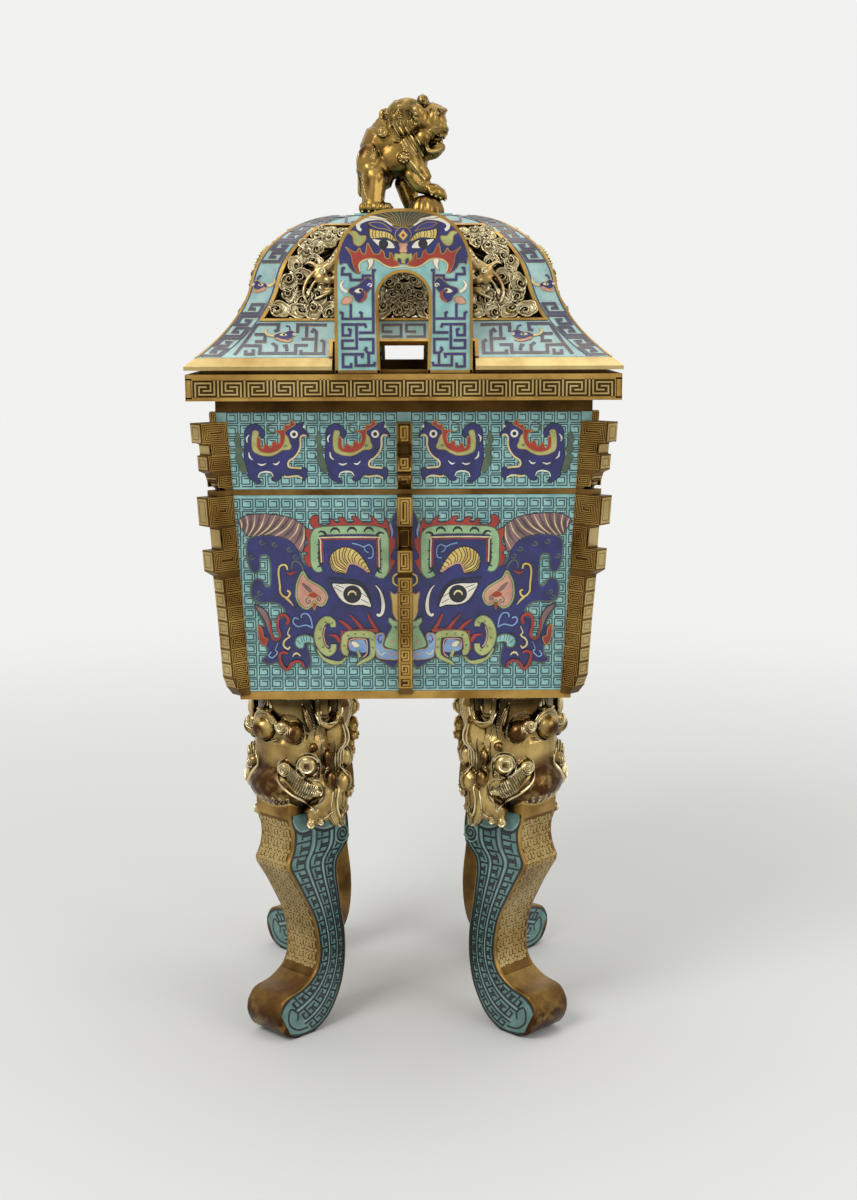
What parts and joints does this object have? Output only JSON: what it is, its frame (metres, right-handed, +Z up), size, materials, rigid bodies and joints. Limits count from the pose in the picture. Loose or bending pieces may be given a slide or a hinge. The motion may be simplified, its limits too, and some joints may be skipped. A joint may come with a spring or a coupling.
{
  "type": "lidded incense burner",
  "caption": "Square tapered lidded burner on curved beast-mask legs, with upright arched handles, notched flanges, a pierced lid and a lion finial, in enamel and gilt bronze.",
  "frame": {"origin": "centre of the square footprint, on the plane the feet stand on", "axes": "+Z up; the arched handles stand on the -Y and +Y edges; the lion on the lid looks towards +X"},
  "size_m": [0.404, 0.404, 0.9396],
  "materials": {
    "gilt_bronze": "worn fire gilding on bronze",
    "dark_bronze": "brown worn bronze",
    "cloisonne_enamel": "polished turquoise enamel with gilt wire on copper",
    "copper": "plain dark copper"
  },
  "bodies": {
    "vessel": {"vessel_floor": "gilt_bronze", "middle_band": "gilt_bronze", "neck_band": "gilt_bronze", "rim": "gilt_bronze", "lower_panel_front": "cloisonne_enamel", "upper_panel_front": "cloisonne_enamel", "upper_flange_front": "gilt_bronze", "lower_flange_front": "gilt_bronze", "lower_panel_right": "cloisonne_enamel", "upper_panel_right": "cloisonne_enamel", "upper_flange_right": "gilt_bronze", "lower_flange_right": "gilt_bronze", "lower_panel_back": "cloisonne_enamel", "upper_panel_back": "cloisonne_enamel", "upper_flange_back": "gilt_bronze", "lower_flange_back": "gilt_bronze", "lower_panel_left": "cloisonne_enamel", "upper_panel_left": "cloisonne_enamel", "upper_flange_left": "gilt_bronze", "lower_flange_left": "gilt_bronze", "upper_flange_front_left": "gilt_bronze", "lower_flange_front_left": "gilt_bronze", "leg_front_left": "gilt_bronze", "leg_mask_front_left": "gilt_bronze", "leg_stud_front_left": "dark_bronze", "leg_nut_front_left": "dark_bronze", "upper_flange_front_right": "gilt_bronze", "lower_flange_front_right": "gilt_bronze", "leg_front_right": "gilt_bronze", "leg_mask_front_right": "gilt_bronze", "leg_stud_front_right": "dark_bronze", "leg_nut_front_right": "dark_bronze", "upper_flange_back_right": "gilt_bronze", "lower_flange_back_right": "gilt_bronze", "leg_back_right": "gilt_bronze", "leg_mask_back_right": "gilt_bronze", "leg_stud_back_right": "dark_bronze", "leg_nut_back_right": "dark_bronze", "upper_flange_back_left": "gilt_bronze", "lower_flange_back_left": "gilt_bronze", "leg_back_left": "gilt_bronze", "leg_mask_back_left": "gilt_bronze", "leg_stud_back_left": "dark_bronze", "leg_nut_back_left": "dark_bronze", "handle_front": "cloisonne_enamel", "handle_back": "cloisonne_enamel"},
    "lid": {"lid_shell": "cloisonne_enamel", "lid_seat_frame": "gilt_bronze", "lid_edge_left": "gilt_bronze", "lid_edge_right": "gilt_bronze", "openwork_panel_front": "gilt_bronze", "openwork_panel_right": "gilt_bronze", "openwork_panel_back": "gilt_bronze", "openwork_panel_left": "gilt_bronze", "finial_plinth": "gilt_bronze", "finial_lion": "gilt_bronze", "finial_ball": "gilt_bronze", "finial_bolt": "dark_bronze"},
    "liner": {"ash_liner": "copper"}
  },
  "joints": [
    {"name": "lid_lift", "type": "slide", "parent": "vessel", "child": "lid", "axis": [0, 0, 1], "range_m": [0, 0.25]},
    {"name": "liner_lift", "type": "slide", "parent": "vessel", "child": "liner", "axis": [0, 0, 1], "range_m": [0, 0.04]}
  ]
}
